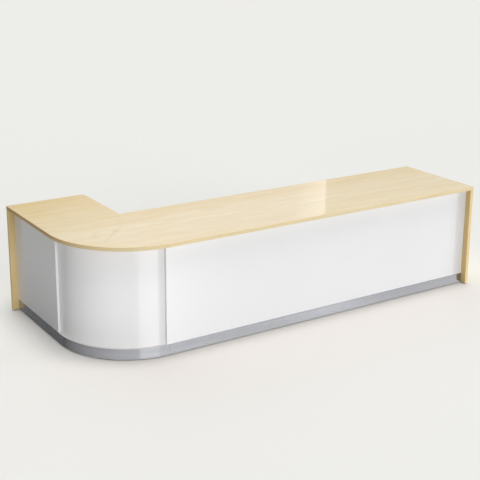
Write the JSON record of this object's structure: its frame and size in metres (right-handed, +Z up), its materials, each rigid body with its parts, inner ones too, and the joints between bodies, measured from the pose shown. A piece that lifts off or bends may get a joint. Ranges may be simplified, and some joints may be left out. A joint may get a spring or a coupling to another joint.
{
  "type": "reception desk",
  "caption": "Low L-shaped reception desk with a rounded outer corner, maple worktop and end panels, recessed white gloss fronts and an aluminium plinth.",
  "frame": {"origin": "on the floor below the middle of the desk's outer box", "axes": "+X along the long wing away from the rounded corner, +Y from the visitors' side to the receptionist's side, +Z up"},
  "size_m": [3.03, 1.275, 0.74],
  "materials": {
    "maple_board": "light maple faced board, satin",
    "white_gloss": "white high gloss facing",
    "carcass_white": "white faced board, matt",
    "plinth_aluminium": "satin aluminium facing",
    "zinc_steel": "zinc plated",
    "dark_plastic": "moulded"
  },
  "bodies": {
    "desk": {"carrier_long": "carcass_white", "carrier_long_angle_1": "zinc_steel", "carrier_long_angle_2": "zinc_steel", "carrier_short": "carcass_white", "carrier_short_angle": "zinc_steel", "end_panel_left": "maple_board", "end_panel_left_angle_front": "zinc_steel", "end_panel_left_angle_rear": "zinc_steel", "end_panel_left_sleeve_front": "zinc_steel", "end_panel_left_sleeve_rear": "zinc_steel", "end_panel_right": "maple_board", "end_panel_right_angle_front": "zinc_steel", "end_panel_right_angle_rear": "zinc_steel", "end_panel_right_sleeve_front": "zinc_steel", "end_panel_right_sleeve_rear": "zinc_steel", "front_curved": "white_gloss", "front_curved_sleeve_middle": "zinc_steel", "front_long": "white_gloss", "front_short": "white_gloss", "plinth_curved": "plinth_aluminium", "plinth_long": "plinth_aluminium", "plinth_short": "plinth_aluminium", "support_corner": "carcass_white", "support_corner_angle_front": "zinc_steel", "support_corner_angle_rear": "zinc_steel", "support_corner_sleeve_front": "zinc_steel", "support_corner_sleeve_rear": "zinc_steel", "support_long_1": "carcass_white", "support_long_1_angle_front": "zinc_steel", "support_long_1_angle_rear": "zinc_steel", "support_long_1_sleeve_front": "zinc_steel", "support_long_1_sleeve_rear": "zinc_steel", "support_short": "carcass_white", "support_short_angle_front": "zinc_steel", "support_short_angle_rear": "zinc_steel", "support_short_sleeve_front": "zinc_steel", "support_short_sleeve_rear": "zinc_steel", "worktop": "maple_board"},
    "foot_left_front": {"end_panel_left_foot_front": "dark_plastic"},
    "foot_left_rear": {"end_panel_left_foot_rear": "dark_plastic"},
    "foot_right_front": {"end_panel_right_foot_front": "dark_plastic"},
    "foot_right_rear": {"end_panel_right_foot_rear": "dark_plastic"},
    "foot_curved_middle": {"front_curved_foot_middle": "dark_plastic"},
    "foot_corner_front": {"support_corner_foot_front": "dark_plastic"},
    "foot_corner_rear": {"support_corner_foot_rear": "dark_plastic"},
    "foot_long_1_front": {"support_long_1_foot_front": "dark_plastic"},
    "foot_long_1_rear": {"support_long_1_foot_rear": "dark_plastic"},
    "foot_short_front": {"support_short_foot_front": "dark_plastic"},
    "foot_short_rear": {"support_short_foot_rear": "dark_plastic"}
  },
  "joints": [
    {"name": "foot_left_front_screw", "type": "slide", "parent": "desk", "child": "foot_left_front", "axis": [0, 0, -1], "range_m": [0, 0.012]},
    {"name": "foot_left_rear_screw", "type": "slide", "parent": "desk", "child": "foot_left_rear", "axis": [0, 0, -1], "range_m": [0, 0.012]},
    {"name": "foot_right_front_screw", "type": "slide", "parent": "desk", "child": "foot_right_front", "axis": [0, 0, -1], "range_m": [0, 0.012]},
    {"name": "foot_right_rear_screw", "type": "slide", "parent": "desk", "child": "foot_right_rear", "axis": [0, 0, -1], "range_m": [0, 0.012]},
    {"name": "foot_curved_middle_screw", "type": "slide", "parent": "desk", "child": "foot_curved_middle", "axis": [0, 0, -1], "range_m": [0, 0.012]},
    {"name": "foot_corner_front_screw", "type": "slide", "parent": "desk", "child": "foot_corner_front", "axis": [0, 0, -1], "range_m": [0, 0.012]},
    {"name": "foot_corner_rear_screw", "type": "slide", "parent": "desk", "child": "foot_corner_rear", "axis": [0, 0, -1], "range_m": [0, 0.012]},
    {"name": "foot_long_1_front_screw", "type": "slide", "parent": "desk", "child": "foot_long_1_front", "axis": [0, 0, -1], "range_m": [0, 0.012]},
    {"name": "foot_long_1_rear_screw", "type": "slide", "parent": "desk", "child": "foot_long_1_rear", "axis": [0, 0, -1], "range_m": [0, 0.012]},
    {"name": "foot_short_front_screw", "type": "slide", "parent": "desk", "child": "foot_short_front", "axis": [0, 0, -1], "range_m": [0, 0.012]},
    {"name": "foot_short_rear_screw", "type": "slide", "parent": "desk", "child": "foot_short_rear", "axis": [0, 0, -1], "range_m": [0, 0.012]}
  ]
}
